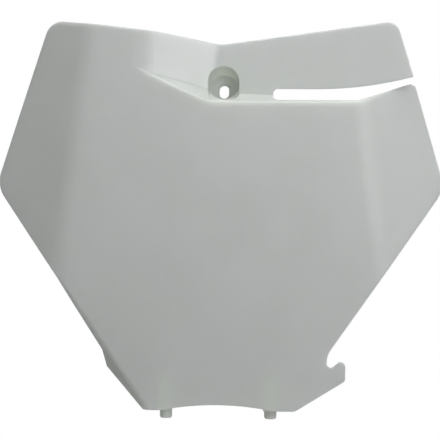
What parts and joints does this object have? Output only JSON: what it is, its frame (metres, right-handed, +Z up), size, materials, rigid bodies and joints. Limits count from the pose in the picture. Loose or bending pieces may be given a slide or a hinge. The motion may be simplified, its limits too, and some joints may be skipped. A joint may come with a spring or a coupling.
{
  "type": "racing number board",
  "caption": "Moulded plastic front number board for an off-road motorbike, with swept-back wings, a set-back top strip, a hose slit and hook, a slotted screw boss and locating pins.",
  "frame": {"origin": "point on the screw boss's rear seat face in the board's middle plane, where the board meets its bracket", "axes": "+Z up along the board, front face towards -Y, +X to the right seen from the front (the side with the hose slit and the hook)"},
  "size_m": [0.2884, 0.0384, 0.257],
  "materials": {
    "white_plastic": "satin as moulded"
  },
  "bodies": {
    "root": {"number_board": "white_plastic"}
  },
  "joints": []
}
